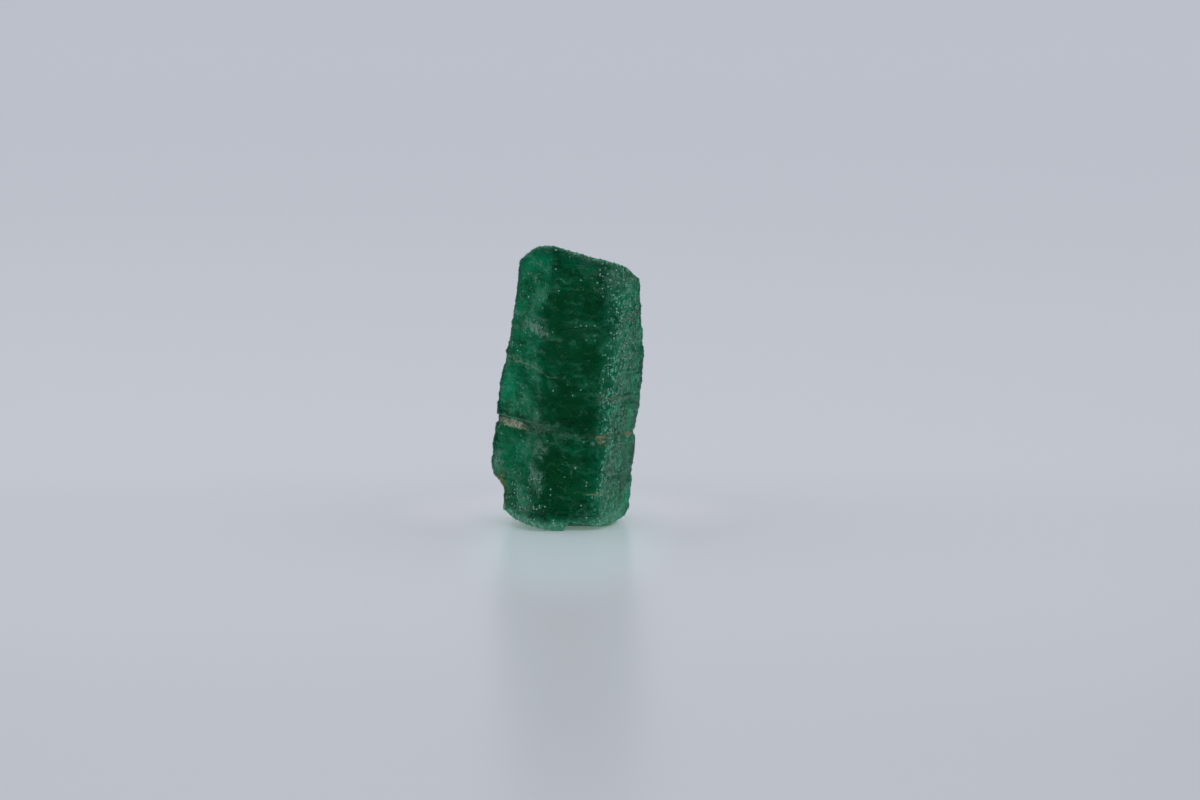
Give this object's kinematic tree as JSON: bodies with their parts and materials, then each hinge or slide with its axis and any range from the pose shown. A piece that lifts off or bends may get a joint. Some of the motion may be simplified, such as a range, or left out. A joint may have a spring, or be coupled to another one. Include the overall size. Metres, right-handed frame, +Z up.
{
  "type": "raw emerald crystal",
  "caption": "Raw six-sided emerald crystal, broken at both ends, with a tan healed crack round it and a worn flat foot to stand on.",
  "frame": {"origin": "on the level it stands on, under the middle of its bounding box", "axes": "+Z up along the crystal, which leans about 4 degrees towards +X; the face shown in the picture looks towards -Y; +X is to the right in the picture"},
  "size_m": [0.0086, 0.007, 0.016],
  "materials": {
    "emerald": "see-through green crystal, glassy on the front face, frosted on the side faces and breaks"
  },
  "bodies": {
    "root": {"emerald_crystal": "emerald"}
  },
  "joints": []
}
